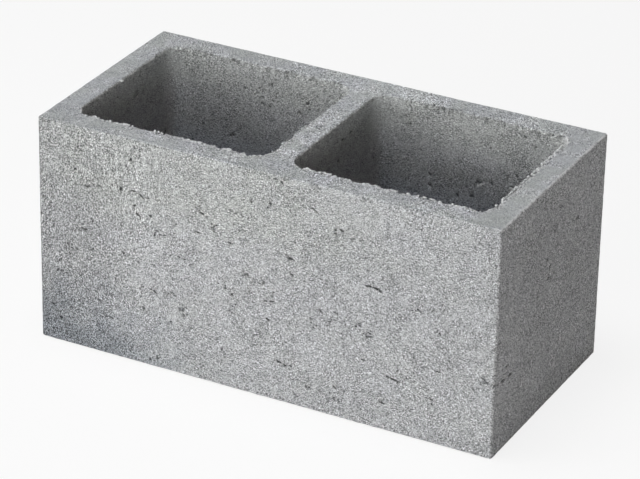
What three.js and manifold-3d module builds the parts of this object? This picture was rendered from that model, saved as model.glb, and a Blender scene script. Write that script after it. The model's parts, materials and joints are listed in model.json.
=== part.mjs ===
// A hollow two-cell concrete masonry block, standing on its bed face with the thin side of
// its walls up, as it leaves the mould. Millimetres, +Z up. The origin is the middle of the
// bed face, X runs along the block, and the front face shell is on the -Y side.

import * as THREE from "three";
import { mergeVertices, toCreasedNormals } from "three/addons/utils/BufferGeometryUtils.js";
import Module from "manifold-3d";

// Overall size: a 400 x 200 x 200 module less a 10 mm mortar joint each way.
const LENGTH = 390;
const WIDTH = 190;
const HEIGHT = 190;

// Walls, measured at the top face, where the draft of the cores leaves them thinnest.
const END_WEB = 20;
const CENTRE_WEB = 20;
const FACE_SHELL = 20;

// Cells: the through holes that the mould's cores leave.
const CELL_COUNT = 2;
const CELL_CORNER_RADIUS = 15;
const CORE_DRAFT_DEGREES = 1.2;
const TOP_RIM_RADIUS = 1.6;
const BED_RIM_RADIUS = 1;

// Outer edges: the four upright ones and the two loops round the top and bed faces.
const UPRIGHT_ARRIS_RADIUS = 2.4;
const FACE_ARRIS_RADIUS = 1.3;

// How finely round forms are cut into facets.
const ARC_DIVISIONS = 4;
const EDGE_STEPS = 4;
const CREASE_ANGLE = THREE.MathUtils.degToRad(25);

// How far a core runs past the faces it opens through.
const CUT_OVERRUN = 5;

const CONCRETE_GREY = 0xa6a8a9;

const wasm = await Module();
wasm.setup();

// An outline centred on the origin, with its four corners rounded.
function roundedRectangle(length, width, radius) {
  const x = length / 2 - radius;
  const y = width / 2 - radius;
  const quarter = Math.PI / 2;
  const outline = new THREE.Shape();
  outline.absarc(x, y, radius, 0, quarter);
  outline.absarc(-x, y, radius, quarter, 2 * quarter);
  outline.absarc(-x, -y, radius, 2 * quarter, 3 * quarter);
  outline.absarc(x, -y, radius, 3 * quarter, 4 * quarter);
  return outline;
}

// A closed solid through a stack of outlines with equal numbers of points, lowest first.
function loft(sections) {
  const rings = sections.map((section) => section.outline.getPoints(ARC_DIVISIONS));
  const count = rings[0].length;
  const positions = rings.flatMap((ring, level) => (
    ring.flatMap((point) => [point.x, point.y, sections[level].z])
  ));
  const index = [];
  for (let level = 0; level + 1 < rings.length; level += 1) {
    for (let k = 0; k < count; k += 1) {
      const here = level * count + k;
      const beside = level * count + ((k + 1) % count);
      index.push(here, beside, beside + count);
      index.push(here, beside + count, here + count);
    }
  }
  const topRing = (rings.length - 1) * count;
  for (const [a, b, c] of THREE.ShapeUtils.triangulateShape(rings[0], [])) {
    index.push(c, b, a);
    index.push(topRing + a, topRing + b, topRing + c);
  }
  const geometry = new THREE.BufferGeometry();
  geometry.setAttribute("position", new THREE.Float32BufferAttribute(positions, 3));
  geometry.setIndex(index);
  return geometry;
}

// A quarter round as steps of { along, across }. It leaves one face at { 0, 0 } and meets
// the other at { radius, radius }, tangent to both.
function quarterRound(radius) {
  return Array.from({ length: EDGE_STEPS + 1 }, (_, step) => {
    const angle = (step / EDGE_STEPS) * (Math.PI / 2);
    return { along: radius * Math.sin(angle), across: radius * (1 - Math.cos(angle)) };
  });
}

// The block before its cells are cored: a plain prism with every outer edge rounded.
function outerBody() {
  const sectionAt = (z, inset) => ({
    z,
    outline: roundedRectangle(LENGTH - 2 * inset, WIDTH - 2 * inset, UPRIGHT_ARRIS_RADIUS),
  });
  const edge = quarterRound(FACE_ARRIS_RADIUS);
  const bed = edge
    .map((step) => sectionAt(FACE_ARRIS_RADIUS - step.along, step.across))
    .reverse();
  const top = edge
    .map((step) => sectionAt(HEIGHT - FACE_ARRIS_RADIUS + step.along, step.across));
  return loft([...bed, ...top]);
}

// One core of the mould. Its walls lean in towards the bed face, and it spreads where it
// passes the faces, which rounds the rims of the cell.
function core(cellLength, cellWidth) {
  const draftSlope = Math.tan(THREE.MathUtils.degToRad(CORE_DRAFT_DEGREES));
  const sectionAt = (z, spread) => {
    const inset = (HEIGHT - z) * draftSlope - spread;
    return {
      z,
      outline: roundedRectangle(
        cellLength - 2 * inset,
        cellWidth - 2 * inset,
        CELL_CORNER_RADIUS + spread,
      ),
    };
  };
  const bedRim = quarterRound(BED_RIM_RADIUS)
    .map((step) => sectionAt(BED_RIM_RADIUS - step.along, step.across))
    .reverse();
  const topRim = quarterRound(TOP_RIM_RADIUS)
    .map((step) => sectionAt(HEIGHT - TOP_RIM_RADIUS + step.along, step.across));
  return loft([
    { ...bedRim.at(0), z: -CUT_OVERRUN },
    ...bedRim,
    ...topRim,
    { ...topRim.at(-1), z: HEIGHT + CUT_OVERRUN },
  ]);
}

// A three.js geometry as a manifold solid.
function toSolid(geometry) {
  const bare = geometry.clone();
  bare.deleteAttribute("normal");
  bare.deleteAttribute("uv");
  const merged = mergeVertices(bare);
  return new wasm.Manifold(new wasm.Mesh({
    numProp: 3,
    vertProperties: new Float32Array(merged.attributes.position.array),
    triVerts: new Uint32Array(merged.index.array),
  }));
}

// A manifold solid as a three.js geometry, with its flat faces shaded flat.
function toGeometry(solid) {
  const mesh = solid.getMesh();
  const geometry = new THREE.BufferGeometry();
  geometry.setAttribute("position", new THREE.BufferAttribute(mesh.vertProperties, 3));
  geometry.setIndex(new THREE.BufferAttribute(mesh.triVerts, 1));
  return toCreasedNormals(geometry, CREASE_ANGLE);
}

// The moulded block: one piece, its cells spaced evenly between the two end webs.
function mouldedBlock() {
  const innerLength = LENGTH - 2 * END_WEB;
  const cellLength = (innerLength - (CELL_COUNT - 1) * CENTRE_WEB) / CELL_COUNT;
  const cellWidth = WIDTH - 2 * FACE_SHELL;
  const cellPitch = cellLength + CENTRE_WEB;
  const firstCellX = -innerLength / 2 + cellLength / 2;

  let block = toSolid(outerBody());
  for (let cell = 0; cell < CELL_COUNT; cell += 1) {
    const coreGeometry = core(cellLength, cellWidth);
    coreGeometry.translate(firstCellX + cell * cellPitch, 0, 0);
    block = block.subtract(toSolid(coreGeometry));
  }
  return toGeometry(block);
}

const concrete = new THREE.MeshStandardMaterial({
  color: CONCRETE_GREY,
  roughness: 0.95,
  metalness: 0,
});

const block = new THREE.Mesh(mouldedBlock(), concrete);
block.name = "concrete_block";

const group = new THREE.Group();
group.name = "hollow_concrete_block";
group.add(block);

export default group;
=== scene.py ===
"""A hollow two-cell concrete block, dressed round its CAD frame: the moulded form with its
ragged rims, pits, tears and sandy skin, bare grey concrete, and a plain pale studio."""

from contextlib import contextmanager
import json
import math
import random

import bmesh
import bpy
from mathutils import Matrix, Vector

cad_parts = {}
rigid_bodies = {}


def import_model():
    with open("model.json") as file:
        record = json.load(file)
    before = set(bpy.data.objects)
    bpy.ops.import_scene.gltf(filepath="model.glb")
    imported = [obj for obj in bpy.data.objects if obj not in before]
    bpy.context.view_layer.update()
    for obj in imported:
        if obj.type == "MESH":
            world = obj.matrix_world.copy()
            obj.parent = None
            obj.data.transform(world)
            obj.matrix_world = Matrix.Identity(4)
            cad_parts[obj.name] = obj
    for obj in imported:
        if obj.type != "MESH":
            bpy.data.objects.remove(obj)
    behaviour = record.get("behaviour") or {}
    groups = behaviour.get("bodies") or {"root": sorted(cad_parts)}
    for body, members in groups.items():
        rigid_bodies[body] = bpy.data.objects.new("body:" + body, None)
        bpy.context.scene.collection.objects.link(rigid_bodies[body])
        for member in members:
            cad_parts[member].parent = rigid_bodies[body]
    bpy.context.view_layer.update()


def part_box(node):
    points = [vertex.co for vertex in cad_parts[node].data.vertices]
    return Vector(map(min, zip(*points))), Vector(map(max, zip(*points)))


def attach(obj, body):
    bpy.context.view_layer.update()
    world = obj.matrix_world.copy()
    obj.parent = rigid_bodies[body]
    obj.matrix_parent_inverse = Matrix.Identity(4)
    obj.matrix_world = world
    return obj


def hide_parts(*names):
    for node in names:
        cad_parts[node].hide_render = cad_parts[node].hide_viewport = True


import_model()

MM = 0.001

# ---- the block's own dimensions, in metres ----
BLOCK_LOW, BLOCK_HIGH = (Vector(corner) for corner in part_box("concrete_block"))
LENGTH, WIDTH, HEIGHT = BLOCK_HIGH - BLOCK_LOW
WALL = 20 * MM  # end webs, centre web and face shells, at the top face
LEAN = math.tan(math.radians(1.2))  # how far a cell wall leans in, for each unit down
CELL_CORNER = 15 * MM
TOP_RIM = 0.8 * MM
BED_RIM = 1.0 * MM
UPRIGHT_ARRIS = 0.6 * MM
FACE_ARRIS = 0.4 * MM

CELL_LENGTH = (LENGTH - 3 * WALL) / 2
CELL_WIDTH = WIDTH - 2 * WALL
CELL_CENTRES = [side * (CELL_LENGTH + WALL) / 2 for side in (-1, 1)]
CLOSE = 0.1 * MM  # how near counts as on a plane
SHARP = math.radians(45)  # how far an edge must turn to count as sharp


# ---- selecting and finishing ----
def deselect_all():
    bpy.ops.object.select_all(action="DESELECT")


def work_on(piece):
    deselect_all()
    piece.select_set(True)
    bpy.context.view_layer.objects.active = piece


@contextmanager
def editing(piece):
    """Edit mode on a piece, for the lines under it."""
    work_on(piece)
    bpy.ops.object.mode_set(mode="EDIT")
    yield
    bpy.ops.object.mode_set(mode="OBJECT")


def pick(piece, kind, test):
    """In edit mode, selects only the vertices, edges or faces of that kind that pass test."""
    bpy.ops.mesh.select_all(action="DESELECT")
    mesh = bmesh.from_edit_mesh(piece.data)
    mesh.select_mode = {kind.upper()}
    bpy.context.tool_settings.mesh_select_mode = [kind == k for k in ("vert", "edge", "face")]
    chosen = [part for part in getattr(mesh, kind + "s") if test(part)]
    for part in chosen:
        part.select = True
    mesh.select_flush_mode()
    bmesh.update_edit_mesh(piece.data)
    return len(chosen)


def apply_modifier(piece, kind, name, **settings):
    work_on(piece)
    modifier = piece.modifiers.new(name, kind)
    for setting, value in settings.items():
        setattr(modifier, setting, value)
    bpy.ops.object.modifier_apply(modifier=modifier.name)


# ---- the moulded form ----
OVERRUN = 5 * MM  # how far a core runs past the faces it opens through


def add_box(name, low, high):
    """A cube added at that place and size."""
    deselect_all()
    bpy.ops.mesh.primitive_cube_add(size=1, location=(low + high) / 2)
    box = bpy.context.object
    box.name = name
    box.scale = high - low
    bpy.ops.object.transform_apply(location=True, rotation=False, scale=True)
    return box


def upright(edge):
    low, high = edge.verts
    return abs(low.co.z - high.co.z) > HEIGHT / 2


def sharp_and_level(edge, height):
    """Whether an edge is sharp and lies level at that height."""
    level = all(abs(vert.co.z - height) < CLOSE for vert in edge.verts)
    return level and edge.calc_face_angle(0) > SHARP


def on_outline(edge):
    """Whether an edge lies in the outer sides of the block, and not round a cell."""
    return all(abs(abs(vert.co.x) - LENGTH / 2) < CLOSE or
               abs(abs(vert.co.y) - WIDTH / 2) < CLOSE for vert in edge.verts)


def mould_core(centre):
    """One core of the mould: a box with round corners that leans in towards the bed face."""
    half = Vector((CELL_LENGTH, CELL_WIDTH, 0)) / 2
    top = HEIGHT + OVERRUN
    spread = Vector((1, 1, 0)) * OVERRUN * LEAN
    place = Vector((centre, 0, 0))
    core = add_box("mould_core", place - half - spread - Vector((0, 0, OVERRUN)),
                   place + half + spread + Vector((0, 0, top)))
    foot_inset = 2 * (top + OVERRUN) * LEAN
    with editing(core):
        pick(core, "vert", lambda vert: vert.co.z < 0)
        bpy.ops.transform.resize(
            value=(1 - foot_inset / (CELL_LENGTH + 2 * spread.x),
                   1 - foot_inset / (CELL_WIDTH + 2 * spread.y), 1),
            center_override=(centre, 0, 0),
        )
        pick(core, "edge", upright)
        bpy.ops.mesh.bevel(offset=CELL_CORNER, segments=8)
    return core


def moulded_form():
    """The block as cast: a box cored twice, with its rims and arrises rounded."""
    block = add_box("concrete_block_surface", BLOCK_LOW, BLOCK_HIGH)
    for centre in CELL_CENTRES:
        core = mould_core(centre)
        apply_modifier(block, "BOOLEAN", "core out the cell", object=core,
                       operation="DIFFERENCE", solver="EXACT")
        bpy.data.objects.remove(core)
    with editing(block):
        for height, radius in ((HEIGHT, TOP_RIM), (0, BED_RIM)):
            pick(block, "edge", lambda edge: sharp_and_level(edge, height)
                 and not on_outline(edge))
            bpy.ops.mesh.bevel(offset=radius, segments=3)
        pick(block, "edge", lambda edge: upright(edge) and on_outline(edge))
        bpy.ops.mesh.bevel(offset=UPRIGHT_ARRIS, segments=4)
        for height in (HEIGHT, 0):
            pick(block, "edge", lambda edge: sharp_and_level(edge, height))
            bpy.ops.mesh.bevel(offset=FACE_ARRIS, segments=3)
    return block


# ---- the skin: waves, lumps and grit pushed into an even mesh ----
SKIN_VOXEL = 1.25 * MM


def cloud(name, size, depth=1, basis="ORIGINAL_PERLIN", colour=False):
    """A procedural cloud texture whose largest lumps are that size."""
    texture = bpy.data.textures.new(name, "CLOUDS")
    texture.noise_scale = size
    texture.noise_depth = depth
    texture.noise_basis = basis
    texture.cloud_type = "COLOR" if colour else "GRAYSCALE"
    return texture


def wall_gap(place):
    """How deep in the concrete a place is behind the wall of the nearer cell."""
    lean = (HEIGHT - place.z) * LEAN
    along = abs(abs(place.x) - CELL_CENTRES[1]) - CELL_LENGTH / 2 + lean + CELL_CORNER
    across = abs(place.y) - CELL_WIDTH / 2 + lean + CELL_CORNER
    outside = math.hypot(max(along, 0), max(across, 0))
    return outside + min(max(along, across), 0) - CELL_CORNER


def rim_gap(place):
    return math.hypot(wall_gap(place), HEIGHT - place.z)


def arris_gap(place):
    """How far a place is from the nearest outer edge of the block."""
    gaps = sorted((
        LENGTH / 2 - abs(place.x),
        WIDTH / 2 - abs(place.y),
        min(place.z, HEIGHT - place.z),
    ))
    return math.hypot(gaps[0], gaps[1])


def torn_depth(place):
    """How deep a place is behind the outer faces, where it is clear of their edges."""
    if arris_gap(place) < 4 * MM:
        return 0
    return min(LENGTH / 2 - abs(place.x), WIDTH / 2 - abs(place.y), HEIGHT - place.z)


def raggedness(place):
    """How badly each side of a cell's rim crumbled: most along the front shell."""
    cell = CELL_CENTRES[1] if place.x > 0 else CELL_CENTRES[0]
    from_front = CELL_WIDTH / 2 + place.y
    from_left = place.x - cell + CELL_LENGTH / 2
    sides = (
        (from_front, 1.0),
        (from_left, 0.35),
        (CELL_LENGTH - from_left, 0.9 if place.x > 0 else 0.5),
        (CELL_WIDTH - from_front, 0.8),
    )
    return min(sides, key=lambda side: side[0])[1]


def along_right_web(place):
    return 1 if place.x > LENGTH / 2 - WALL - 3 * MM else 0


def fading(gap, reach):
    """1 on an edge, falling to 0 at that distance from it."""
    return max(0, 1 - gap / reach)


def weigh(piece, name, weight_at):
    """A vertex group that holds weight_at(place) for each vertex, in steps of an eighth."""
    group = piece.vertex_groups.new(name=name)
    members = {}
    for vert in piece.data.vertices:
        step = round(8 * weight_at(vert.co))
        if step > 0:
            members.setdefault(step, []).append(vert.index)
    for step, indices in members.items():
        group.add(indices, min(step / 8, 1), "REPLACE")
    return group.name


def swell(piece, name, height, group):
    """Raises the skin by that height wherever the group is full."""
    apply_modifier(piece, "DISPLACE", name, strength=height, mid_level=0, vertex_group=group)


def push(piece, texture, strength, group="", level=0.5, direction="NORMAL"):
    """Displaces the mesh by a texture, up to half the strength each way about its level."""
    apply_modifier(piece, "DISPLACE", texture.name, texture=texture, strength=strength,
                   mid_level=level, direction=direction, texture_coords="LOCAL",
                   vertex_group=group)


def subdivide_where(piece, test):
    """Halves the faces whose middle passes test."""
    with editing(piece):
        if pick(piece, "face", lambda face: test(face.calc_center_median())):
            bpy.ops.mesh.subdivide(number_cuts=1, smoothness=0)


def triangulate(piece):
    with editing(piece):
        bpy.ops.mesh.select_all(action="SELECT")
        bpy.ops.mesh.quads_convert_to_tris()


def roughen(block):
    """The skin all over: bowed faces and packed sand, then ragged rims and worn arrises."""
    apply_modifier(block, "REMESH", "even skin", mode="VOXEL", voxel_size=SKIN_VOXEL,
                   adaptivity=0)
    push(block, cloud("bowed faces", 80 * MM), 0.5 * MM)
    push(block, cloud("hand-sized waves", 20 * MM), 0.14 * MM)
    push(block, cloud("packed lumps", 6 * MM, depth=2), 0.24 * MM)
    push(block, cloud("coarse sand", 3.0 * MM, basis="VORONOI_F1"), 0.24 * MM)
    subdivide_where(block, lambda place: place.z > HEIGHT - 5 * MM and min(
        rim_gap(place) / 3.5, arris_gap(place) / 2.4) < MM)
    ragged = weigh(block, "ragged rims", lambda place: (
        fading(rim_gap(place), 4 * MM) * min(1, raggedness(place) + 0.2)))
    slumped = weigh(block, "slumped rims", lambda place: (
        place.y > 0.38 * WIDTH and fading(rim_gap(place), 9 * MM)))
    worn = weigh(block, "worn arrises", lambda place: fading(arris_gap(place), 2 * MM))
    lipped = weigh(block, "lipped arris", lambda place: (
        place.x > LENGTH / 2 - 3 * MM and place.z > HEIGHT - 3 * MM
        and fading(arris_gap(place), 1.4 * MM)))
    raised = weigh(block, "raised rims", lambda place: (
        (place.y < 3 * MM - CELL_WIDTH / 2 or along_right_web(place))
        and fading(rim_gap(place), 3 * MM)))
    swell(block, "raised rims", 0.4 * MM, raised)
    push(block, cloud("slumped back rim", 16 * MM), 2.4 * MM, slumped, level=0.9)
    push(block, cloud("rubble", 4 * MM, depth=2, colour=True), 6 * MM, slumped,
         direction="RGB_TO_XYZ")
    push(block, cloud("rim waver", 9 * MM, colour=True), 3.0 * MM, ragged,
         direction="RGB_TO_XYZ")
    push(block, cloud("rim grit", 2.2 * MM, colour=True), 6 * MM, ragged,
         direction="RGB_TO_XYZ")
    swell(block, "crisp arrises", 0.45 * MM, worn)
    swell(block, "lip on the right", 0.6 * MM, lipped)
    push(block, cloud("arris wear", 2.6 * MM, depth=2), 1.0 * MM, worn, level=0.54)
    block.vertex_groups.clear()
    triangulate(block)


# ---- marks: tears, pits, chips and crumbs ----
def rough_pebble(seed):
    """A lump of no particular shape, one metre across until it is placed."""
    deselect_all()
    bpy.ops.mesh.primitive_ico_sphere_add(subdivisions=2, radius=0.5)
    pebble = bpy.context.object
    with editing(pebble):
        bpy.ops.mesh.select_all(action="SELECT")
        bpy.ops.transform.vertex_random(offset=0.13, uniform=0.3, normal=0.7, seed=seed)
    return pebble


class Side:
    """One flat of the block: its top left corner as seen from outside, and its two ways."""

    def __init__(self, corner, along, down, length, drop):
        self.corner = Vector(corner)
        self.along = Vector(along).normalized()
        self.down = Vector(down).normalized()
        self.inward = self.along.cross(self.down)
        self.length = length
        self.drop = drop

    def place(self, along, down, sunk):
        return self.corner + self.along * along + self.down * down + self.inward * sunk


FRONT = Side((-LENGTH / 2, -WIDTH / 2, HEIGHT), (1, 0, 0), (0, 0, -1), LENGTH, HEIGHT)
BACK = Side((LENGTH / 2, WIDTH / 2, HEIGHT), (-1, 0, 0), (0, 0, -1), LENGTH, HEIGHT)
RIGHT_END = Side((LENGTH / 2, -WIDTH / 2, HEIGHT), (0, 1, 0), (0, 0, -1), WIDTH, HEIGHT)
TOP = Side((-LENGTH / 2, WIDTH / 2, HEIGHT), (1, 0, 0), (0, -1, 0), LENGTH, WIDTH)
LEFT_END = Side((-LENGTH / 2, WIDTH / 2, HEIGHT), (0, -1, 0), (0, 0, -1), WIDTH, HEIGHT)


def cell_sides(centre):
    """The four walls of a cell, each as seen from inside it."""
    left, right = centre - CELL_LENGTH / 2, centre + CELL_LENGTH / 2
    front, back = -CELL_WIDTH / 2, CELL_WIDTH / 2
    return [
        Side((left, back, HEIGHT), (1, 0, 0), (0, -LEAN, -1), CELL_LENGTH, HEIGHT),
        Side((right, front, HEIGHT), (-1, 0, 0), (0, LEAN, -1), CELL_LENGTH, HEIGHT),
        Side((left, front, HEIGHT), (0, 1, 0), (LEAN, 0, -1), CELL_WIDTH, HEIGHT),
        Side((right, back, HEIGHT), (0, -1, 0), (-LEAN, 0, -1), CELL_WIDTH, HEIGHT),
    ]


def copied(pebble, placing):
    """A copy of a pebble with its own mesh, moved by a matrix."""
    copy = pebble.copy()
    copy.data = pebble.data.copy()
    copy.data.transform(placing)
    bpy.context.scene.collection.objects.link(copy)
    return copy


def lay_pebble(pebble, side, along, down, size, turn, sunk=0):
    """A copy of a pebble on a side, that long, high and thick, turned in the plane."""
    frame_of_side = Matrix((side.along, side.down, side.inward)).transposed()
    shaped = frame_of_side @ Matrix.Rotation(turn, 3, "Z") @ Matrix.Diagonal(size)
    return copied(pebble, Matrix.Translation(side.place(along, down, sunk)) @ shaped.to_4x4())


def join_all(pieces, name):
    work_on(pieces[0])
    for piece in pieces:
        piece.select_set(True)
    bpy.ops.object.join()
    pieces[0].name = name
    return pieces[0]


# Tears and pits of the front shell, in mm and degrees: from the left, from the top, how long,
# how high and how deep each is, and how far it tips down to the right.
FRONT_MARKS = [
    (285, 72, 6, 1.8, 2.6, -8), (291, 72.3, 6.5, 2.3, 3.2, 0), (294.8, 74, 3.6, 2.1, 2.8, 32),
    (303, 143.6, 4, 1.8, 2.8, 6), (307.5, 144.6, 7.5, 2.3, 3.2, 5), (312, 145.6, 4, 1.6, 2.4, -10),
    (211, 156, 5, 1.9, 2.8, 10), (216, 157.5, 5, 1.5, 2.4, 12), (221, 157, 3, 2, 2.4, 0),
    (82, 17.5, 2.4, 3.8, 3.4, 8), (84, 22, 1.5, 2, 1.8, 0),
    (84, 43, 5, 1.6, 2.4, 5), (91, 46, 7, 1.9, 3, 38), (97, 46, 2.6, 1.8, 2.4, 0),
    (73, 44, 3.2, 3.4, 3.2, 0), (85, 55, 3.4, 1.9, 2.4, -30), (99, 60.5, 3.6, 2.6, 3.2, -20),
    (220, 66, 5, 2.2, 3.2, 4), (168, 66, 3.2, 1.9, 3, 20),
    (199, 107, 3.4, 1.7, 2.6, -20), (204, 106, 4.5, 1.4, 2.2, -5), (239, 21, 7, 1.3, 2.2, 33),
    (33, 36.5, 3, 2.2, 2.8, 10), (144, 47, 4.5, 1.7, 2.6, 12), (148, 49, 3, 1.4, 2, -20),
    (201, 122, 4, 1.5, 2.2, 10), (127, 134, 3.2, 2, 2, 40), (131, 137, 3, 1.4, 1.8, -40),
    (18, 169, 3.6, 3, 3.2, -15), (11, 159, 3.4, 2, 2.8, 10), (75, 98, 2.8, 2.4, 2, 0),
    (344, 128, 4.5, 1.4, 2.2, 10), (381, 124, 3, 2, 2, 0), (384, 127, 3.6, 1.4, 2, -20),
    (202, 25, 3, 2.8, 2.8, 20), (200, 28, 3, 1.4, 1.8, -30), (170, 109, 2.4, 3, 2.8, 60),
    (311, 136, 3.4, 1.4, 1.8, -40), (340, 153, 2.4, 1.6, 2.2, 0), (259, 165, 4, 1.4, 1.8, 20),
    (42, 86, 2.4, 2.6, 1.8, 60), (48, 101, 2.4, 1.6, 1.8, 30), (44, 49, 5.5, 1.8, 1.8, -15),
    (54, 46, 3.6, 1.6, 1.8, -10), (238, 112, 3.4, 1.8, 2, 0), (221, 79, 3.6, 1.5, 2.2, 12),
    (287, 111, 4.2, 1.4, 1.8, 20), (279, 107, 3.2, 1.5, 1.8, 30), (262, 32, 3.6, 1.5, 1.8, 0),
    (153, 57, 3.2, 1.5, 1.8, 0), (111, 74, 4, 1.5, 1.8, -20), (121, 62, 3.4, 1.5, 1.8, -40),
    (88, 62, 5, 1.8, 2, 28), (140, 64, 5.5, 1.5, 1.8, 8), (112, 90, 4, 1.5, 1.8, -35),
    (206, 3.5, 5, 1.8, 2, 4), (211, 5, 3, 2.2, 2.2, 30), (186, 27, 3, 2, 1.8, -20),
    (215.5, 2, 2.4, 2, 2.4, 0), (280, 2, 4, 1.5, 2, 25), (284, 3, 2.4, 1.3, 1.8, 10),
    (271, 36.5, 6, 1.1, 1.6, -12), (278, 36, 6, 1.1, 1.6, -12), (299, 167, 5, 1.4, 2, 12),
    (282, 135, 4, 1.3, 1.8, 5),
]

# Spots of the front shell where fine tears lie close together: from the left, from the top and
# how far they spread, in mm, and how many there are.
FRONT_CLUSTERS = [
    (40, 86, 3, 5), (28, 106, 3, 3), (106, 72, 4.5, 7), (62, 157, 3, 4), (53, 146, 3, 3),
    (94, 141, 3, 6), (102, 124, 4, 6), (128, 134, 4, 8), (113, 147, 3, 4), (115, 123, 3, 3),
    (105, 182, 5, 5), (161, 103, 3, 3), (170, 120, 3, 3), (194, 92, 4, 6), (125, 92, 4, 6),
    (181, 87, 3, 3), (153, 57, 4, 6), (258, 107, 5, 7), (241, 117, 3, 3), (277, 107, 3, 3),
    (285, 113, 4, 5), (324, 82, 2, 4), (237, 171, 3, 3), (224, 181, 3, 3), (258, 176, 5, 6),
    (339, 154, 3, 3), (322, 139, 3, 3), (382, 125, 3, 5), (343, 96, 3, 3), (260, 33, 4, 3),
]

# Tears and pits of the right end, told as those of the front shell are.
RIGHT_END_MARKS = [
    (87, 62, 3, 3.4, 2.4, 0), (97, 42, 2.6, 3.2, 2.4, 20), (90, 78, 4, 2.4, 2.4, -20),
    (130, 48, 2.6, 3.2, 2.4, 0), (92, 70, 2.4, 3.6, 2.2, 30), (104, 57, 2.2, 2.4, 2, 0),
    (71, 86, 3, 1.6, 2, -30), (118, 66, 2.4, 2, 2, 0), (62, 112, 3, 1.6, 2, 0),
]

# Crumbs that stand out on the top rims, in mm: along and across the block from its middle, and
# how far across each is.
RIM_CRUMBS = [
    (37.9, -76.2, 3), (29.5, -75.8, 2.2), (110, -75.4, 2), (-173.8, -6.5, 5.2),
    (-173, -2, 3.8),
    (29.6, 73.5, 2.6), (56.3, 77.5, 3.4), (66.4, 75.6, 3), (-82, 78.5, 2.2), (45, 76, 3.2),
    (77, 76.5, 2.8), (90, 77.5, 2.4), (166.2, 40, 2.2), (165.6, 8, 2.4), (166, -30, 2.2),
]


def scattered_marks(side, count, dice):
    """Small tears and pits thrown over a side in loose clusters, clear of its edges."""
    marks = []
    while len(marks) < count:
        middle = dice.uniform(8, side.length / MM - 8), dice.uniform(10, side.drop / MM - 8)
        for _ in range(dice.choice((1, 1, 2, 4))):
            along = middle[0] + dice.gauss(0, 7)
            down = middle[1] + dice.gauss(0, 5)
            if not (6 < along < side.length / MM - 6 and 8 < down < side.drop / MM - 6):
                continue
            length = dice.choice((2, 2.6, 3.2, 4.4, 6.5))
            marks.append((along, down, length, dice.uniform(1.2, 2.2),
                          dice.uniform(1.6, 2.4), dice.gauss(0, 22)))
    return marks


def clustered_marks(clusters, dice):
    """The fine tears of every cluster, level more or less."""
    return [
        (along + dice.gauss(0, spread), down + dice.gauss(0, 0.6 * spread),
         dice.uniform(1.3, 3.2), dice.uniform(1, 1.8), dice.uniform(1.2, 2.2),
         dice.gauss(0, 25))
        for along, down, spread, count in clusters for _ in range(count)
    ]


def arris_nicks(side, spacing, dice, upright):
    """Small nicks along the top edge of a side, or down its left edge."""
    marks = []
    run = side.drop if upright else side.length
    walked = 3.0
    while walked < run / MM - 3:
        across = dice.uniform(-0.4, 0.6)
        along, down = (across, walked) if upright else (walked, across)
        marks.append((along, down, dice.choice((1.4, 1.8, 2.4, 3.4)), dice.uniform(1, 1.7),
                      dice.uniform(0.9, 1.6), dice.gauss(90 if upright else 0, 16)))
        walked += spacing * (0.35 + dice.expovariate(1.5))
    return marks


def mark_cutters(side, marks, shapes, dice):
    """A pebble for each mark, sunk a little below the side that it is cut from."""
    return [
        lay_pebble(dice.choice(shapes), side, along * MM, down * MM,
                   (length * MM, high * MM, 1.2 * deep * MM), math.radians(tip), 0.25 * MM)
        for along, down, length, high, deep, tip in marks
    ]


def rim_points(centre, dice, spacing):
    """Places round a cell's top rim, unevenly spaced, each with its way into the concrete."""
    half = Vector((CELL_LENGTH / 2 - 2 * MM, CELL_WIDTH / 2 - 2 * MM, 0))
    corner = CELL_CORNER * 0.8
    for way in (Vector((1, 0, 0)), Vector((0, 1, 0)), Vector((-1, 0, 0)), Vector((0, -1, 0))):
        outward = Vector((way.y, -way.x, 0))
        start = Vector((centre, 0, HEIGHT)) + half * (outward - way)
        walked = corner
        while walked < 2 * abs(half.dot(way)) - corner:
            yield start + way * walked + outward * 2 * MM, outward
            walked += dice.expovariate(1 / spacing) + spacing * 0.4


def rim_lumps(shapes, dice, spacing, size, inset, drop, stretch=(1.2, 1, 0.8), turn=math.pi,
              chance=raggedness):
    """Pebbles along the top rims: their size and shape, how far into the concrete and down
    they sit, how far each may turn away from running along its rim, and how likely it is."""
    lumps = []
    for centre in CELL_CENTRES:
        for place, outward in rim_points(centre, dice, spacing):
            if dice.random() > chance(place):
                continue
            across = size * dice.uniform(0.6, 1.35)
            pebble = dice.choice(shapes)
            spot = place + outward * inset * dice.uniform(0.3, 1.6)
            spot.z -= drop * dice.uniform(0.2, 1.6)
            facing = math.atan2(outward.y, outward.x) + math.pi / 2 + dice.uniform(-turn, turn)
            long, wide, tall = (across * share * dice.uniform(0.8, 1.25) for share in stretch)
            shaped = Matrix.Rotation(facing, 4, "Z") @ Matrix.Diagonal((long, wide, tall, 1))
            lumps.append(copied(pebble, Matrix.Translation(spot) @ shaped))
    return lumps


def cut_or_add(block, lumps, name, operation, grain):
    """Fuses the lumps into one solid of that grain, and takes it from the block or joins it
    on."""
    tool = join_all(lumps, name)
    apply_modifier(tool, "REMESH", "fuse", mode="VOXEL", voxel_size=grain, adaptivity=0)
    triangulate(tool)
    apply_modifier(block, "BOOLEAN", name, object=tool, operation=operation, solver="MANIFOLD")
    bpy.data.objects.remove(tool)


def drop_loose_crumbs(block):
    """Deletes what ended up clear of the block."""
    with editing(block):
        pick(block, "vert", lambda vert: vert.index == 0)
        bpy.ops.mesh.select_linked()
        bpy.ops.mesh.select_all(action="INVERT")
        bpy.ops.mesh.delete(type="VERT")


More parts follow.
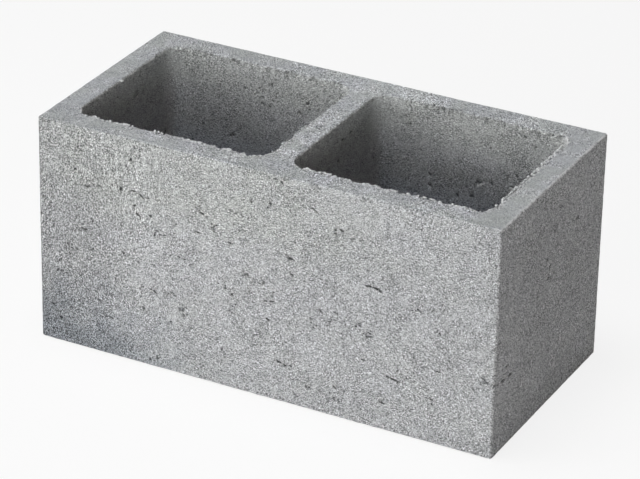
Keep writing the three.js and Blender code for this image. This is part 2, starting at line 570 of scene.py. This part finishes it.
def close_up(block):
    """Takes out the few corners where the thinned skin pinches, and fills what that opens."""
    with editing(block):
        bpy.ops.mesh.select_mode(type="VERT")
        bpy.ops.mesh.select_all(action="DESELECT")
        bpy.ops.mesh.select_non_manifold()
        bpy.ops.mesh.delete(type="VERT")
        bpy.ops.mesh.select_non_manifold()
        bpy.ops.mesh.fill_holes(sides=0)
        bpy.ops.mesh.select_all(action="SELECT")
        bpy.ops.mesh.quads_convert_to_tris()
        bpy.ops.mesh.normals_make_consistent(inside=False)


def crumbs_on_rims(shapes, dice):
    """Crumbs round both cells, longer ones that stand along the rims, more on the right web,
    and those whose places are known."""
    crumbs = rim_lumps(shapes, dice, spacing=4 * MM, size=1.6 * MM, inset=-0.2 * MM,
                       drop=0.2 * MM)
    crumbs += rim_lumps(shapes, dice, spacing=2.6 * MM, size=1.0 * MM, inset=-0.1 * MM,
                        drop=-0.4 * MM, stretch=(2.0, 0.9, 1.5), turn=0.7)
    crumbs += rim_lumps(shapes, dice, spacing=3.0 * MM, size=1.6 * MM, inset=-0.4 * MM,
                        drop=-0.3 * MM, stretch=(1.7, 1.0, 1.3), turn=0.8,
                        chance=along_right_web)
    return crumbs + [
        lay_pebble(dice.choice(shapes), TOP, (x + LENGTH / MM / 2) * MM,
                   (WIDTH / MM / 2 - y) * MM,
                   (size * MM, 0.8 * size * MM, min(0.9 * size, 2.4) * MM), 0.4)
        for x, y, size in RIM_CRUMBS
    ]


def chips_off_rims(shapes, dice):
    """Small chips round both cells, and a long flake off the top edge of the front shell."""
    chips = rim_lumps(shapes, dice, spacing=11 * MM, size=2.4 * MM, inset=-0.5 * MM,
                      drop=0.2 * MM)
    flake = lay_pebble(shapes[2], FRONT, 211 * MM, 0, (14 * MM, 2.4 * MM, 2.2 * MM),
                       math.radians(2), -0.3 * MM)
    return chips + [flake]


def known_tears(shapes, dice):
    """The tears whose places are known, and nicks along the edges."""
    cutters = mark_cutters(FRONT, FRONT_MARKS, shapes, dice)
    cutters += mark_cutters(FRONT, clustered_marks(FRONT_CLUSTERS, dice), shapes, dice)
    cutters += mark_cutters(RIGHT_END, RIGHT_END_MARKS, shapes, dice)
    for side, spacing, upright in ((RIGHT_END, 6, False), (FRONT, 8, False),
                                   (BACK, 8, False), (LEFT_END, 8, False),
                                   (RIGHT_END, 12, True), (FRONT, 12, True)):
        nicks = arris_nicks(side, spacing, dice, upright)
        cutters += mark_cutters(side, nicks, shapes, dice)
    return cutters


def scattered_tears(shapes, dice):
    """Tears thrown over the back, the ends and the walls of both cells."""
    cutters = []
    counts = [(BACK, 90), (LEFT_END, 40), (RIGHT_END, 20)]
    counts += [(side, 34) for centre in CELL_CENTRES for side in cell_sides(centre)]
    for side, count in counts:
        cutters += mark_cutters(side, scattered_marks(side, count, dice), shapes, dice)
    return cutters


FACE_BUDGET = 194000  # about how many triangles the skin is thinned to
TORN = 0.35 * MM  # deeper than this behind the front, the skin keeps all its triangles


def thin_out(block):
    """Thins the skin where it is plain, and keeps it whole in the tears of the front."""
    kept = weigh(block, "front tears", lambda place: (
        place.y < -WIDTH / 2 + 4 * MM and torn_depth(place) > TORN))
    apply_modifier(block, "DECIMATE", "thin out", vertex_group=kept, invert_vertex_group=True,
                   vertex_group_factor=20, ratio=min(1, FACE_BUDGET / len(block.data.polygons)))
    block.vertex_groups.clear()


def dress(block):
    """Crumbs on, chips and tears out, then a thinner skin, closed all over."""
    dice = random.Random(41)
    shapes = [rough_pebble(seed) for seed in range(7)]
    cut_or_add(block, crumbs_on_rims(shapes, dice), "rim crumbs", "UNION", 0.4 * MM)
    cut_or_add(block, chips_off_rims(shapes, dice), "rim chips", "DIFFERENCE", 0.5 * MM)
    cut_or_add(block, known_tears(shapes, dice), "known tears", "DIFFERENCE", 0.4 * MM)
    cut_or_add(block, scattered_tears(shapes, dice), "scattered tears", "DIFFERENCE",
               0.6 * MM)
    for shape in shapes:
        bpy.data.objects.remove(shape)
    triangulate(block)
    thin_out(block)
    drop_loose_crumbs(block)
    close_up(block)


def bed_down(block):
    """Flattens what would sink into the floor, so that the block rests on its bed face."""
    with editing(block):
        if pick(block, "vert", lambda vert: vert.co.z < 0):
            bpy.ops.transform.resize(value=(1, 1, 0), center_override=(0, 0, 0))
    bpy.ops.object.shade_smooth()


CREST = "crest"


def note_crests(block):
    """Keeps how far each place stands out from those round it: 0.5 where the skin is flat, 1 on
    a sharp crest and 0 in a crevice."""
    work_on(block)
    bpy.ops.geometry.color_attribute_add(name=CREST, domain="CORNER", data_type="FLOAT_COLOR",
                                         color=(1, 1, 1, 1))
    bpy.ops.paint.vertex_color_dirt(blur_strength=1, blur_iterations=0,
                                    clean_angle=math.radians(115), dirt_angle=math.radians(65),
                                    dirt_only=False, normalize=False)


# ---- concrete: effects as node groups, then the finish itself ----
class Wiring:
    """Adds nodes to a tree and wires whatever is handed to them, a socket or a plain value."""

    def __init__(self, tree):
        self.tree = tree

    def feed(self, node, slot, value):
        if isinstance(value, bpy.types.NodeSocket):
            self.tree.links.new(value, node.inputs[slot])
        else:
            node.inputs[slot].default_value = value

    def add(self, kind, settings=None, *values, **inputs):
        """A node with those settings, its first slots fed in turn and others by name."""
        node = self.tree.nodes.new("ShaderNode" + kind)
        for setting, value in (settings or {}).items():
            setattr(node, setting, value)
        for slot, value in [*enumerate(values), *inputs.items()]:
            self.feed(node, slot, value)
        return node

    def math(self, operation, first, second=0, third=0):
        return self.add("Math", {"operation": operation}, first, second, third).outputs[0]

    def times(self, first, second):
        return self.math("MULTIPLY", first, second)

    def minus(self, first, second):
        return self.math("SUBTRACT", first, second)

    def larger(self, first, second):
        return self.math("MAXIMUM", first, second)

    def smaller(self, first, second):
        return self.math("MINIMUM", first, second)

    def total(self, *terms):
        """The sum of the terms, each a value or a pair of values to multiply."""
        running = None
        for term in terms:
            if isinstance(term, tuple):
                term = self.times(*term)
            running = term if running is None else self.math("ADD", running, term)
        return running

    def split(self, vector):
        return self.add("SeparateXYZ", None, vector).outputs

    def joined(self, x, y, z):
        return self.add("CombineXYZ", None, x, y, z).outputs[0]

    def vector(self, operation, first, second=(0, 0, 0)):
        node = self.add("VectorMath", {"operation": operation}, first, second)
        return node.outputs["Value" if operation == "LENGTH" else "Vector"]

    def stretched(self, place, upright):
        """The place with its height scaled, so that a pattern runs upright or level."""
        return self.vector("MULTIPLY", place, self.joined(1, 1, upright))

    def ramp(self, value, low, high, to_low=0, to_high=1):
        """Fades from one value to another as value goes from low to high."""
        return self.add("MapRange", {"interpolation_type": "SMOOTHSTEP"},
                        value, low, high, to_low, to_high).outputs[0]

    def noise(self, place, size, detail=2, roughness=0.5, distortion=0):
        """Soft noise about zero, roughly -1 to 1, whose lumps are that many mm across."""
        node = self.add("TexNoise", Vector=place, Scale=self.math("DIVIDE", 1 / MM, size),
                        Detail=detail, Roughness=roughness, Distortion=distortion)
        return self.math("MULTIPLY_ADD", node.outputs[0], 4, -2)

    def blend(self, share, first, second, kind="MIX"):
        node = self.add("Mix", {"data_type": "RGBA", "blend_type": kind})
        for slot, value in ((0, share), (6, first), (7, second)):
            self.feed(node, slot, value)
        return node.outputs[2]

    def tinted(self, share, colour, tint):
        return self.blend(share, colour, tint, "MULTIPLY")

    def either(self, share, first, second):
        """The first shader, giving way to the second as share goes from 0 to 1."""
        return self.add("MixShader", None, share, first.outputs[0],
                        second.outputs[0]).outputs[0]


class Effect(Wiring):
    """A node group under construction: a place and its settings go in, and numbers come out."""

    def __init__(self, name, **settings):
        super().__init__(bpy.data.node_groups.new(name, "ShaderNodeTree"))
        self.add_socket("INPUT", "Place", "Vector")
        for label, value in settings.items():
            kind = "Vector" if isinstance(value, tuple) else "Float"
            self.add_socket("INPUT", label, kind).default_value = value
        self.given = self.tree.nodes.new("NodeGroupInput").outputs
        self.place = self.given["Place"]

    def add_socket(self, way, label, kind="Float"):
        return self.tree.interface.new_socket(label, in_out=way, socket_type="NodeSocket" + kind)

    def give(self, **values):
        for label in values:
            self.add_socket("OUTPUT", label)
        results = self.tree.nodes.new("NodeGroupOutput")
        for label, value in values.items():
            self.feed(results, label, value)
        return self

    def used_in(self, skin, **settings):
        node = skin.tree.nodes.new("ShaderNodeGroup")
        node.node_tree = self.tree
        for label, value in {"Place": skin.place, **settings}.items():
            skin.feed(node, label, value)
        return node.outputs


def moulded_faces():
    """Where a place lies among the faces that the mould left. In mm: how deep behind the
    nearest, how far off the rims and the arrises, and how far down from the top. From 0 to 1:
    whether the nearest is a cell wall or the top, and whether the place is by the left wall of
    a cell, by the right arris, over the front shell or the right web, or by either end."""
    effect = Effect("behind the moulded faces")
    x, y, z = (effect.times(value, 1 / MM) for value in effect.split(effect.place))
    end = effect.minus(LENGTH / MM / 2, effect.math("ABSOLUTE", x))
    shell = effect.minus(WIDTH / MM / 2, effect.math("ABSOLUTE", y))
    top = effect.minus(HEIGHT / MM, z)
    level = effect.smaller(top, z)
    outer = effect.smaller(effect.smaller(end, shell), level)
    from_cell = effect.math("ABSOLUTE", effect.minus(
        effect.math("ABSOLUTE", x), CELL_CENTRES[1] / MM))
    lean = (top, LEAN)
    along = effect.total(from_cell, lean, (CELL_CORNER - CELL_LENGTH / 2) / MM)
    across = effect.total(effect.math("ABSOLUTE", y), lean, (CELL_CORNER - CELL_WIDTH / 2) / MM)
    past = effect.joined(effect.larger(along, 0), effect.larger(across, 0), 0)
    inside = effect.smaller(effect.larger(along, across), 0)
    cell = effect.total(effect.vector("LENGTH", past), inside, -CELL_CORNER / MM)
    sides = effect.smaller(effect.smaller(end, shell), cell)
    nearer, farther = effect.smaller(end, shell), effect.larger(end, shell)
    right_web = (LENGTH / 2 - WALL) / MM
    in_second = effect.math("GREATER_THAN", x, 0)
    from_left = effect.total(x, (in_second, -2 * CELL_CENTRES[1] / MM),
                             (top, -LEAN),
                             (CELL_CENTRES[1] + CELL_LENGTH / 2) / MM)
    return effect.give(
        Depth=effect.smaller(outer, cell),
        Rim=effect.vector("LENGTH", effect.joined(cell, top, 0)),
        Arris=effect.smaller(effect.larger(nearer, level), farther),
        Down=top,
        Cell=effect.ramp(effect.minus(outer, cell), -0.3, 0.6),
        Top=effect.ramp(effect.minus(sides, top), -0.3, 0.6),
        Left=effect.ramp(from_left, 0.8, 7, 1, 0),
        Right=effect.ramp(x, LENGTH / MM / 2 - 8, LENGTH / MM / 2 - 3),
        Front_Shell=effect.ramp(y, 15 - CELL_WIDTH / MM / 2, 3 - CELL_WIDTH / MM / 2),
        Right_Web=effect.ramp(x, right_web - 15, right_web - 3),
        Ends=effect.ramp(end, 2, 0.5),
    )


def sand_and_paste():
    """Sand grains in paste, drawn out upright or level: height in mm, and a tone about zero
    that leans to the pale."""
    effect = Effect("sand and paste", Grain=1.2, Flatness=1)
    grain = effect.given["Grain"]
    place = effect.stretched(effect.place, effect.given["Flatness"])
    paste = effect.noise(place, effect.times(grain, 0.8), 1, 0.7)
    packed = effect.noise(place, effect.times(grain, 2.2), 1, 0.5)
    grains = effect.add("TexVoronoi", {"feature": "F1"}, Vector=place,
                        Scale=effect.math("DIVIDE", 1 / MM, grain)).outputs
    round_tops = effect.minus(0.45, grains["Distance"])
    rise = effect.total((paste, 0.16), (packed, 0.08), (round_tops, 0.4))
    each = effect.split(grains["Color"])["X"]
    tone = effect.total((each, 1.1), -0.55, (paste, 0.7), (packed, 0.04))
    return effect.give(
        Height=effect.times(rise, grain),
        Tone=effect.total(tone, (effect.larger(tone, 0), 0.28), -0.03),
    )


def torn_specks():
    """Short torn specks between the grains, gathered where the skin is open: 0 to 1."""
    effect = Effect("torn specks", Size=2, Flatness=1.7, Open=0.5)
    given = effect.given
    speck = effect.noise(effect.stretched(effect.place, given["Flatness"]), given["Size"],
                         2, 0.6, 1)
    edge = effect.total((given["Open"], -0.75), 1.3)
    return effect.give(Mask=effect.ramp(effect.minus(speck, edge), 0, 0.3))


def mould_drag():
    """Upright streaks that the stripping mould drags down a face, in patches."""
    effect = Effect("mould drag", Spacing=1.5, Run=24)
    spacing = effect.given["Spacing"]
    drawn = effect.stretched(effect.place, effect.math("DIVIDE", spacing, effect.given["Run"]))
    streak = effect.noise(drawn, spacing, 1, 0.6)
    patch = effect.ramp(effect.noise(effect.place, 50, 1), -0.5, 0.6)
    return effect.give(Streak=effect.times(streak, patch))


def uneven_cure():
    """Broad patches and small clouds of tone, a drift of tint, and how open the skin is."""
    effect = Effect("uneven cure", Broad=70, Small=7)
    place, given = effect.place, effect.given
    broad = effect.noise(place, given["Broad"], 2)
    small = effect.noise(place, given["Small"], 2, 0.6)
    moved = effect.vector("ADD", place, (0.7, 0.2, 0.4))
    opened = effect.noise(moved, effect.times(given["Small"], 3), 3, 0.6)
    return effect.give(
        Tone=effect.total((broad, 0.25), (small, 0.75)),
        Tint=effect.noise(moved, effect.times(given["Broad"], 0.4), 1),
        Open=effect.ramp(effect.total(opened, (small, -0.5)), -0.7, 0.9),
    )


def soft_patch():
    """A patch with a ragged soft edge about a place: 1 in its middle, 0 outside."""
    effect = Effect("soft patch", Middle=(0, 0, 0), Reach=(1, 1, 1))
    place, given = effect.place, effect.given
    out = effect.vector("DIVIDE", effect.vector("SUBTRACT", place, given["Middle"]),
                        given["Reach"])
    reached = effect.total(effect.vector("LENGTH", out), (effect.noise(place, 18, 3), 0.2))
    return effect.give(Mask=effect.ramp(reached, 0.2, 1.1, 1, 0))


CONCRETE = (0.418, 0.424, 0.430)
# painted shade: the dark put into tears, torn specks, rim crevices and along the arrises
PAINTED_SHADE = (0.11, 0.113, 0.12, 1)  # the dark inside a tear
# the pale of fresh broken paste, and painted highlight, on crests, rim lips and the right arris
FRESH_PASTE_AND_HIGHLIGHT = (0.72, 0.725, 0.73, 1)  # paste just broken open
GREENISH = (0.977, 0.995, 0.985, 1)  # from here on, what each place multiplies the grey by
BLUISH = (0.98, 0.99, 1.025, 1)
DRIED = (0.991, 1, 0.968, 1)
# painted shade, bluish, deep down the cell walls
DEEP_SHADE_TINT = (0.76, 0.81, 0.95, 1)
# painted shade on the left walls of the cells; it also darkens and warms both ends
DARKER_WARMER = (0.795, 0.76, 0.745, 1)
STAINED = (0.60, 0.63, 0.665, 1)
SMEARED = (0.88, 0.89, 0.885, 1)

# Patches of the outer faces, each with the middle and the reach of it in metres: where the
# mould dragged, where paste was wiped over, what dried first, where the left of the front goes
# darker towards its low corner, and the low corner with a stain.
DRAGGED = (-0.13, -0.1, 0.165), (0.08, 0.1, 0.06)
WIPED = (0.075, -0.1, 0.175), (0.045, 0.05, 0.03)
DRIED_FIRST = (-0.08, -0.095, 0.15), (0.22, 0.1, 0.14)
DARKER_LOW_LEFT = (-0.2, -0.1, 0.05), (0.11, 0.08, 0.2)
STAINED_CORNER = (-0.2, -0.1, -0.01), (0.17, 0.12, 0.08)

# Patches of paler or darker tone: middle, reach, and the tone that each adds. The fourth is
# painted light, high on the back wall of the right cell.
TONE_PATCHES = [
    ((-0.045, -0.1, 0.15), (0.09, 0.06, 0.12), 0.065),
    ((0.09, -0.1, 0.19), (0.10, 0.03, 0.04), 0.09),
    ((0.015, 0.09, 0.195), (0.065, 0.06, 0.03), 0.16),
    # painted light: high on the back wall of the right cell
    ((0.085, 0.073, 0.163), (0.06, 0.02, 0.026), 0.22),
    ((0.08, -0.1, 0), (0.22, 0.03, 0.045), -0.08),
    ((-0.13, 0.09, 0.195), (0.09, 0.03, 0.03), -0.08),
    ((0.15, -0.1, 0.08), (0.09, 0.05, 0.12), 0.02),
]


class Skin(Wiring):
    """The block's skin in the making: where a place lies, and how the mould left it there."""

    def __init__(self, tree):
        super().__init__(tree)
        self.place = self.add("TexCoord").outputs["Object"]
        self.x, self.y, _ = self.split(self.place)
        self.where = moulded_faces().used_in(self)
        self.cure = uneven_cure().used_in(self)
        self.patch = soft_patch()
        self.moulded = self.minus(1, self.where["Top"])
        self.left_wall = self.times(self.where["Cell"], self.where["Left"])
        self.lay_sand()
        self.open_up()

    def patch_at(self, middle, reach):
        return self.patch.used_in(self, Middle=middle, Reach=reach)["Mask"]

    def lay_sand(self):
        """Grain drawn out upright on the ends and the left of the front, and level elsewhere."""
        leftward = self.total((self.x, -1 / MM), (self.noise(self.place, 14, 2), 35))
        upright = self.larger(self.where["Ends"], self.ramp(leftward, 65, 105))
        self.upright = self.times(upright, self.minus(1, self.where["Cell"]))
        sanded = sand_and_paste()
        drawn = sanded.used_in(self, Grain=0.4, Flatness=0.6)
        level = sanded.used_in(self, Grain=0.54, Flatness=1.6)
        self.sand = {
            part: self.total(level[part], (self.upright, self.minus(drawn[part], level[part])))
            for part in ("Height", "Tone")
        }

    def open_up(self):
        """Streaks where the mould dragged, and torn specks wherever no paste closed the skin."""
        on_top, front_shell = self.where["Top"], self.where["Front_Shell"]
        wiped = self.patch_at(*WIPED)
        drag = mould_drag().used_in(self)
        dragged = self.total(self.patch_at(*DRAGGED), wiped, 0.3)
        self.streak = self.times(drag["Streak"], self.times(self.moulded, dragged))
        moved = self.vector("ADD", self.place, (0.4, 0.4, 0))
        self.smear = self.times(on_top, self.ramp(self.noise(moved, 20, 2), -0.35, 0.25))
        self.closed = self.larger(
            self.total((self.left_wall, 0.35), (wiped, 0.5)),
            self.times(on_top, self.total((self.smear, 0.6), (front_shell, -0.25), 0.2)))
        self.opened = self.times(self.cure["Open"], self.minus(1, self.closed))
        self.specks = torn_specks().used_in(self, Size=1.35, Flatness=1.7,
                                            Open=self.opened)["Mask"]

    def grey(self):
        """The tone of the block: grain, clouds, streaks, rubble, paler and darker patches, and
        painted light at the back left corners of the cells and high on the back wall of the right
        cell.
        """
        where, on_top, cell = self.where, self.where["Top"], self.where["Cell"]
        front_shell, right_web = where["Front_Shell"], where["Right_Web"]
        rubble = self.times(self.noise(self.place, 2.6, 2), self.times(
            cell, self.ramp(where["Rim"], 3, 9, 1, 0)))
        # painted light: a paler patch at the back left corner of each cell
        corners = self.larger(*(
            self.patch_at((centre - CELL_LENGTH / 2 + 4 * MM, 0.07, 0.17), (0.014, 0.018, 0.06))
            for centre in CELL_CENTRES))
        darker_low_left = self.times(self.moulded, self.patch_at(*DARKER_LOW_LEFT))
        quiet = self.times(on_top, self.total((front_shell, 0.2), (right_web, 0.6), -0.2))
        grain_share = self.total((self.opened, 1.1), (self.closed, -0.95), (self.upright, -0.42),
                                 (quiet, -1.3), (cell, -0.6), 1.8)
        top_tone = self.total((front_shell, -0.035), (right_web, 0.04), 0.01)
        tone = self.total(
            (self.sand["Tone"], grain_share), (self.cure["Tone"], 0.085), (self.opened, -0.04),
            (self.streak, 0.26), (rubble, 0.4), (self.times(cell, corners), 0.24),
            (on_top, top_tone), (where["Ends"], -0.025), (self.moulded, -0.035), 0.987,
            (darker_low_left, -0.28),
            *((self.patch_at(middle, reach), added) for middle, reach, added in TONE_PATCHES))
        return self.vector("MULTIPLY", CONCRETE, self.joined(tone, tone, tone))

    def torn(self, colour):
        """Painted shade: the dark of tears and torn specks, and of anything sunk in a face."""
        clear = self.times(self.ramp(self.where["Rim"], 4, 9),
                           self.ramp(self.where["Arris"], 1.5, 4))
        sunk = self.times(self.ramp(self.where["Depth"], 0.5, 1, 0, 0.85), clear)
        # painted shade in the tears, in all that is sunk in a face, and in the torn specks
        return self.blend(self.larger(sunk, self.times(self.specks, 0.42)), colour, PAINTED_SHADE)

    def stained_and_shaded(self, colour):
        """A drift of tint, warm where it dried first; painted shade, bluish low in the cells and
        warm on their left walls; both ends darker and warmer; a stain on the low corner; and paste
        smeared over the top."""
        where, cell, down = self.where, self.where["Cell"], self.where["Down"]
        drift = self.blend(self.ramp(self.cure["Tint"], -0.8, 0.8), GREENISH, BLUISH)
        colour = self.tinted(self.total((where["Top"], 0.7), 0.3), colour, drift)
        high = self.ramp(self.times(down, self.total(cell, 1)), 40, 90, 1, 0)
        dried = self.times(self.times(self.moulded, high),
                           self.larger(cell, self.patch_at(*DRIED_FIRST)))
        colour = self.tinted(dried, colour, DRIED)
        # painted shade deep down the cell walls, bluish, all but the left walls
        walls = self.times(cell, self.ramp(down, 50, 110))
        painted_deep_shade = self.times(walls, self.minus(1, where["Left"]))
        colour = self.tinted(painted_deep_shade, colour, DEEP_SHADE_TINT)
        # painted shade on the left walls of the cells, deepest towards the front shell; both ends
        # darker and warmer too
        frontward = self.total(down, (self.times(self.y, 1 / MM), -0.25))
        painted_left_wall_shade = self.times(self.left_wall, self.ramp(frontward, -15, 30))
        colour = self.tinted(self.total(painted_left_wall_shade, (where["Ends"], 0.4)), colour, DARKER_WARMER)
        colour = self.tinted(self.patch_at(*STAINED_CORNER), colour, STAINED)
        return self.tinted(self.times(self.smear, 0.8), colour, SMEARED)

    def worn(self, colour):
        """Along the rims of the front shell and the right web: pale broken crests and lips, partly
        fresh paste and partly painted highlight, with painted shade in the crevices between them;
        a pale right arris, partly painted highlight too; and painted shade on the other edges."""
        where = self.where
        crest = self.add("VertexColor", {"layer_name": CREST}).outputs["Color"]
        ragged = self.total((where["Front_Shell"], 0.75), (where["Right_Web"], 0.9), 0.15)
        by_rim = self.times(self.ramp(where["Rim"], 2, 4.5, 1, 0),
                            self.smaller(ragged, 1))
        by_arris = self.ramp(where["Arris"], 0.9, 1.7, 1, 0)
        upper = self.times(by_arris, self.ramp(where["Down"], 0.3, 1, 1, 0))
        broken = self.ramp(self.noise(self.place, 3, 2), -0.7, 0.3, 0.15, 0.8)
        right_arris = self.times(self.times(upper, broken), where["Right"])
        lip = self.total(where["Rim"], self.noise(self.place, 2, 2))
        lip = self.times(self.ramp(lip, 0.5, 1.3, 0.5, 0),
                         self.ramp(self.noise(self.place, 5, 1), -0.5, 0.2))
        # partly fresh paste and partly painted highlight, on crests and lips along the rims and on
        # the right arris
        pale = self.larger(lip, self.ramp(crest, 0.54, 0.72, 0, 0.9))
        pale = self.larger(self.times(by_rim, pale), right_arris)
        colour = self.blend(pale, colour, FRESH_PASTE_AND_HIGHLIGHT)
        # painted shade in the crevices along the rims
        crevice = self.times(by_rim, self.ramp(crest, 0.45, 0.2, 0, 0.6))
        # painted shade: the arrises a tenth darker, all but the right one
        dull = self.times(by_arris, self.total((where["Right"], -0.1), 0.1))
        return self.blend(self.larger(crevice, dull), colour, PAINTED_SHADE)

    def relief(self):
        """Sand, specks and streaks as a normal, for what is too fine to model."""
        share = self.total((self.opened, 1.2), (self.closed, -0.5), 0.8)
        height = self.total(self.times(self.sand["Height"], share), (self.specks, -0.45),
                            (self.streak, 0.15))
        bump = self.add("Bump", Height=self.times(height, MM), Strength=1, Distance=1)
        return bump.outputs["Normal"]


def concrete_finish():
    """Bare grey concrete: sandy, torn here and there, dragged by the mould, unevenly cured, with
    painted shade in its tears, crevices and cells, and painted highlight and light along the
    rims, the right arris and some cell walls.
    """
    material = bpy.data.materials.new("bare_concrete")
    material.use_nodes = True
    surface = material.node_tree.nodes["Principled BSDF"]
    skin = Skin(material.node_tree)
    colour = skin.stained_and_shaded(skin.torn(skin.grey()))
    skin.feed(surface, "Base Color", skin.worn(colour))
    skin.feed(surface, "Normal", skin.relief())
    skin.feed(surface, "Roughness", 0.93)
    skin.feed(surface, "Specular IOR Level", 0.25)
    return material


# ---- the studio ----
VIEW_AZIMUTH = math.radians(27.18)
VIEW_ELEVATION = math.radians(26.863)
VIEW_ROLL = math.radians(1.24)
VIEW_LENS = 190.4
CAMERA_PLACE = Vector((1.0674, -2.0786, 1.2756))

# Softboxes: the way to each from the block, in degrees round from the front and up; how far off
# it is and how wide and high, in metres; and its power in watts.
SOFTBOXES = {
    "front_softbox": (-2, 12, 3, (1.3, 1.2), 38.8),
    "left_softbox": (-55, 21, 3, (1.2, 1.2), 21),
    "overhead_softbox": (-45, 80, 2.4, (1, 1), 37),
    "right_softbox": (95, 5, 3, (1.2, 0.5), 2.9),
}
HORIZON_LEVEL = 1.04  # light from low down all round, as from pale studio walls
ZENITH_LEVEL = 0.03
AIR = (1, 0.984, 0.965, 1)
BACKDROP = (1, 1, 1, 1)
FLOOR_SIZE = 24
FLOOR_GREY = (0.8, 0.8, 0.8, 1)
FLOOR_GLOW = 0.85  # how far the floor goes white where the eye meets it


def aim_direction(azimuth, elevation):
    """From the block towards something at that azimuth, counted from the front, and height."""
    return Vector((
        math.sin(azimuth) * math.cos(elevation),
        -math.cos(azimuth) * math.cos(elevation),
        math.sin(elevation),
    ))


def add_camera():
    bpy.ops.object.camera_add(location=CAMERA_PLACE)
    camera = bpy.context.object
    camera.name = "studio_camera"
    back = aim_direction(VIEW_AZIMUTH, VIEW_ELEVATION)
    turn = back.to_track_quat("Z", "Y").to_matrix() @ Matrix.Rotation(VIEW_ROLL, 3, "Z")
    camera.rotation_euler = turn.to_euler()
    camera.data.lens = VIEW_LENS
    camera.data.clip_end = 60
    bpy.context.scene.camera = camera


def add_softbox(name, azimuth, elevation, distance, size, power):
    direction = aim_direction(math.radians(azimuth), math.radians(elevation))
    target = Vector((0, 0, HEIGHT / 2))
    bpy.ops.object.light_add(type="AREA", location=target + direction * distance)
    lamp = bpy.context.object
    lamp.name = name
    lamp.rotation_euler = direction.to_track_quat("Z", "Y").to_euler()
    lamp.data.shape = "RECTANGLE"
    lamp.data.size, lamp.data.size_y = size
    lamp.data.energy = power


def seen_directly(wiring):
    """1 where the eye, a reflection or a look through glass meets the surface, otherwise 0."""
    path = wiring.add("LightPath").outputs
    seen = wiring.larger(path["Is Camera Ray"], path["Is Glossy Ray"])
    return wiring.larger(seen, path["Is Transmission Ray"])


def add_world():
    world = bpy.data.worlds.new("studio_air")
    bpy.context.scene.world = world
    world.use_nodes = True
    world.node_tree.nodes.clear()
    wiring = Wiring(world.node_tree)
    rise = wiring.split(wiring.add("TexCoord").outputs["Generated"])["Z"]
    level = wiring.ramp(rise, 0.1, 0.34, HORIZON_LEVEL, ZENITH_LEVEL)
    lighting = wiring.add("Background", Color=AIR, Strength=level)
    backdrop = wiring.add("Background", Color=BACKDROP, Strength=1)
    wiring.add("OutputWorld", Surface=wiring.either(seen_directly(wiring), lighting, backdrop))


def add_floor():
    deselect_all()
    bpy.ops.mesh.primitive_plane_add(size=FLOOR_SIZE, location=(0, 0, 0))
    floor = bpy.context.object
    floor.name = "studio_floor"
    material = bpy.data.materials.new("pale_studio_floor")
    material.use_nodes = True
    material.node_tree.nodes.clear()
    wiring = Wiring(material.node_tree)
    paint = wiring.add("BsdfDiffuse", Color=FLOOR_GREY)
    glow = wiring.add("Emission")
    share = wiring.times(seen_directly(wiring), FLOOR_GLOW)
    wiring.add("OutputMaterial", Surface=wiring.either(share, paint, glow))
    floor.data.materials.append(material)


def add_studio():
    add_camera()
    for name, settings in SOFTBOXES.items():
        add_softbox(name, *settings)
    add_world()
    add_floor()
    bpy.context.scene.view_settings.view_transform = "Standard"


# ---- the making ----
block = moulded_form()
roughen(block)
dress(block)
bed_down(block)
note_crests(block)
block.data.materials.clear()
block.data.materials.append(concrete_finish())
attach(block, "root")
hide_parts("concrete_block")

add_studio()
